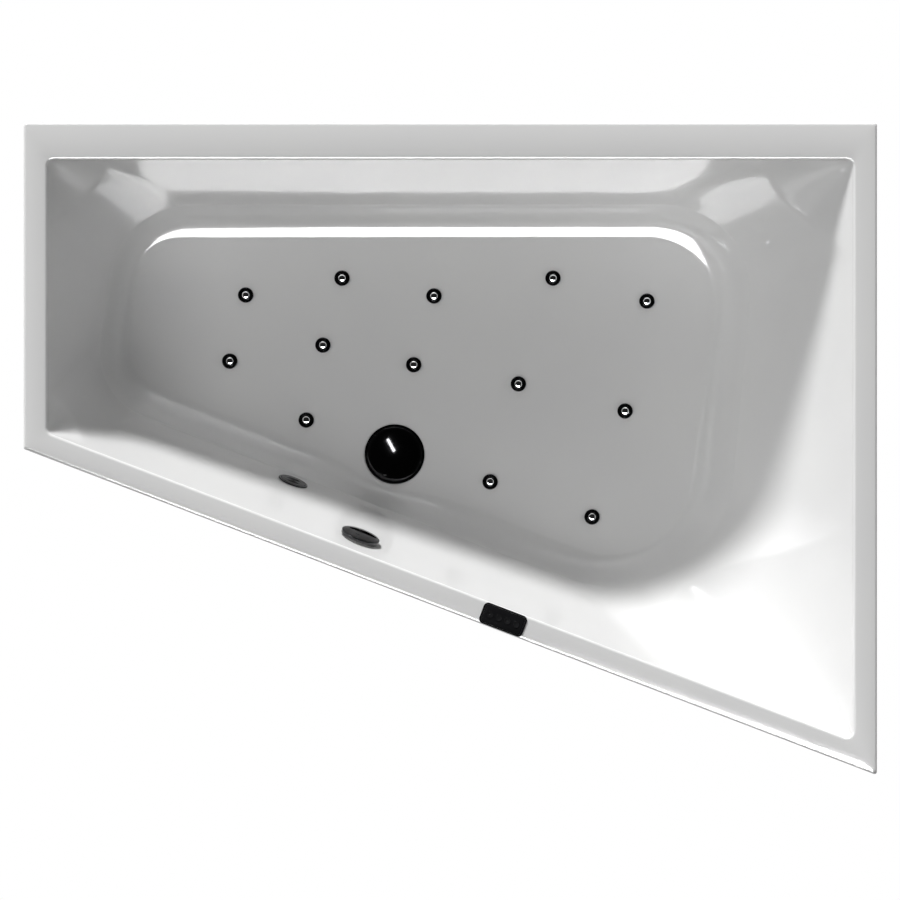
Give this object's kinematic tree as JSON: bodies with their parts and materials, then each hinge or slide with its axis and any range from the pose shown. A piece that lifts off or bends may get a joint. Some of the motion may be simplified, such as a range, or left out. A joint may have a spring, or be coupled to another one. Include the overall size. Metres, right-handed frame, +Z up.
{
  "type": "jetted bathtub",
  "caption": "Trapezium corner bathtub in white acrylic with floor air jets, a lifting waste cover worked by a turning overflow knob, a rim keypad and a steel frame",
  "frame": {"origin": "middle of the footprint, on the floor", "axes": "+X runs along the long back edge from the narrow end to the wide end, +Y towards the back wall, +Z up"},
  "size_m": [1.7, 1.2977, 0.6034],
  "materials": {
    "acrylic": "glossy white cast acrylic",
    "fibreglass": "rough sprayed fibreglass",
    "board": "raw chipboard",
    "timber": "planed softwood",
    "galvanised": "galvanised steel tube",
    "zinc": "zinc plated",
    "foot_plastic": "black moulded plastic",
    "chrome": "polished chrome plate",
    "dark_plastic": "dark grey moulded plastic",
    "black_rubber": "matt rubber",
    "hose": "grey flexible vinyl",
    "white_plastic": "white moulded plastic",
    "black_gloss": "gloss black",
    "button_plastic": "satin black",
    "impeller_plastic": "filled nylon",
    "motor": "varnished laminations",
    "lens": "dark clear lens",
    "cable": "black sheath"
  },
  "bodies": {
    "tub": {"tub_shell": "acrylic", "fibreglass_backing": "fibreglass", "base_board": "board", "rim_battens": "timber", "perimeter_rails": "galvanised", "cross_rails": "galvanised", "rim_posts": "galvanised", "frame_bolts": "zinc", "jet_caps": "chrome", "jet_bodies": "dark_plastic", "jet_gaskets": "black_rubber", "jet_nuts": "dark_plastic", "air_hoses": "hose", "air_manifold": "dark_plastic", "supply_hose": "hose", "check_valve": "dark_plastic", "blower_tray": "galvanised", "blower_mounts": "black_rubber", "blower_base": "dark_plastic", "blower_cover": "dark_plastic", "blower_stator": "motor", "drain_flange": "chrome", "drain_gasket": "black_rubber", "drain_body": "dark_plastic", "trap_body": "white_plastic", "trap_cap": "dark_plastic", "overflow_body": "chrome", "overflow_gasket": "black_rubber", "overflow_pipe": "white_plastic", "bowden_cable": "cable", "light_bezel": "chrome", "light_lens": "lens", "light_housing": "dark_plastic", "panel_bezel": "chrome", "panel_base": "black_gloss", "control_box": "white_plastic", "control_box_lid": "white_plastic", "light_cable": "cable", "power_cables": "cable", "wall_brackets": "galvanised"},
    "knob": {"overflow_knob": "chrome"},
    "cover": {"drain_plug": "chrome", "plug_seal": "black_rubber"},
    "lever": {"lift_lever": "zinc"},
    "flap": {"valve_flap": "black_rubber"},
    "impeller": {"blower_impeller": "impeller_plastic"},
    "pad_1": {"foot_pad_1": "foot_plastic"},
    "screw_1": {"foot_stud_1": "zinc"},
    "pad_2": {"foot_pad_2": "foot_plastic"},
    "screw_2": {"foot_stud_2": "zinc"},
    "pad_3": {"foot_pad_3": "foot_plastic"},
    "screw_3": {"foot_stud_3": "zinc"},
    "pad_4": {"foot_pad_4": "foot_plastic"},
    "screw_4": {"foot_stud_4": "zinc"},
    "pad_5": {"foot_pad_5": "foot_plastic"},
    "screw_5": {"foot_stud_5": "zinc"},
    "key_1": {"button_1": "button_plastic"},
    "key_2": {"button_2": "button_plastic"},
    "key_3": {"button_3": "button_plastic"},
    "key_4": {"button_4": "button_plastic"}
  },
  "joints": [
    {"name": "cover_lift", "type": "slide", "parent": "tub", "child": "cover", "axis": [0, 0, 1], "range_m": [0, 0.01]},
    {"name": "knob_turn", "type": "hinge", "parent": "tub", "child": "knob", "pos_m": [-0.18426, -0.18264, 0.515], "axis": [0.3471, 0.9077, 0.2357], "range_deg": [0, 120]},
    {"name": "lever_rock", "type": "hinge", "parent": "tub", "child": "lever", "pos_m": [-0.12543, -0.02786, 0.112], "axis": [0.9341, -0.3571, 0], "range_deg": [0, 32.26]},
    {"name": "valve_swing", "type": "hinge", "parent": "tub", "child": "flap", "pos_m": [0.7446, -0.0835, 0.4095], "axis": [1, 0, 0], "range_deg": [0, 60]},
    {"name": "impeller_spin", "type": "hinge", "parent": "tub", "child": "impeller", "pos_m": [0.68, -0.39975, 0.2], "axis": [0, 0, 1], "continuous": true},
    {"name": "foot_1_height", "type": "slide", "parent": "tub", "child": "pad_1", "axis": [0, 0, -1], "range_m": [0, 0.025]},
    {"name": "foot_1_screw", "type": "hinge", "parent": "pad_1", "child": "screw_1", "pos_m": [-0.828, 0.01514, 0.06], "axis": [0, 0, -1], "range_deg": [0, 5143]},
    {"name": "foot_2_height", "type": "slide", "parent": "tub", "child": "pad_2", "axis": [0, 0, -1], "range_m": [0, 0.025]},
    {"name": "foot_2_screw", "type": "hinge", "parent": "pad_2", "child": "screw_2", "pos_m": [0.828, -0.61804, 0.06], "axis": [0, 0, -1], "range_deg": [0, 5143]},
    {"name": "foot_3_height", "type": "slide", "parent": "tub", "child": "pad_3", "axis": [0, 0, -1], "range_m": [0, 0.025]},
    {"name": "foot_3_screw", "type": "hinge", "parent": "pad_3", "child": "screw_3", "pos_m": [0.828, 0.628, 0.06], "axis": [0, 0, -1], "range_deg": [0, 5143]},
    {"name": "foot_4_height", "type": "slide", "parent": "tub", "child": "pad_4", "axis": [0, 0, -1], "range_m": [0, 0.025]},
    {"name": "foot_4_screw", "type": "hinge", "parent": "pad_4", "child": "screw_4", "pos_m": [-0.828, 0.628, 0.06], "axis": [0, 0, -1], "range_deg": [0, 5143]},
    {"name": "foot_5_height", "type": "slide", "parent": "tub", "child": "pad_5", "axis": [0, 0, -1], "range_m": [0, 0.025]},
    {"name": "foot_5_screw", "type": "hinge", "parent": "pad_5", "child": "screw_5", "pos_m": [0.01997, 0.25025, 0.06], "axis": [0, 0, -1], "range_deg": [0, 5143]},
    {"name": "button_1_press", "type": "slide", "parent": "tub", "child": "key_1", "axis": [0, 0, -1], "range_m": [0, 0.0008], "stiffness_N_per_m": 500, "springref_m": -0.0008},
    {"name": "button_2_press", "type": "slide", "parent": "tub", "child": "key_2", "axis": [0, 0, -1], "range_m": [0, 0.0008], "stiffness_N_per_m": 500, "springref_m": -0.0008},
    {"name": "button_3_press", "type": "slide", "parent": "tub", "child": "key_3", "axis": [0, 0, -1], "range_m": [0, 0.0008], "stiffness_N_per_m": 500, "springref_m": -0.0008},
    {"name": "button_4_press", "type": "slide", "parent": "tub", "child": "key_4", "axis": [0, 0, -1], "range_m": [0, 0.0008], "stiffness_N_per_m": 500, "springref_m": -0.0008}
  ],
  "couplings": [
    {"joint": "knob_turn", "follows": "cover_lift", "rad_per_m": 209},
    {"joint": "lever_rock", "follows": "cover_lift", "rad_per_m": 56.2},
    {"joint": "foot_1_screw", "follows": "foot_1_height", "rad_per_m": 3590.4},
    {"joint": "foot_2_screw", "follows": "foot_2_height", "rad_per_m": 3590.4},
    {"joint": "foot_3_screw", "follows": "foot_3_height", "rad_per_m": 3590.4},
    {"joint": "foot_4_screw", "follows": "foot_4_height", "rad_per_m": 3590.4},
    {"joint": "foot_5_screw", "follows": "foot_5_height", "rad_per_m": 3590.4}
  ]
}
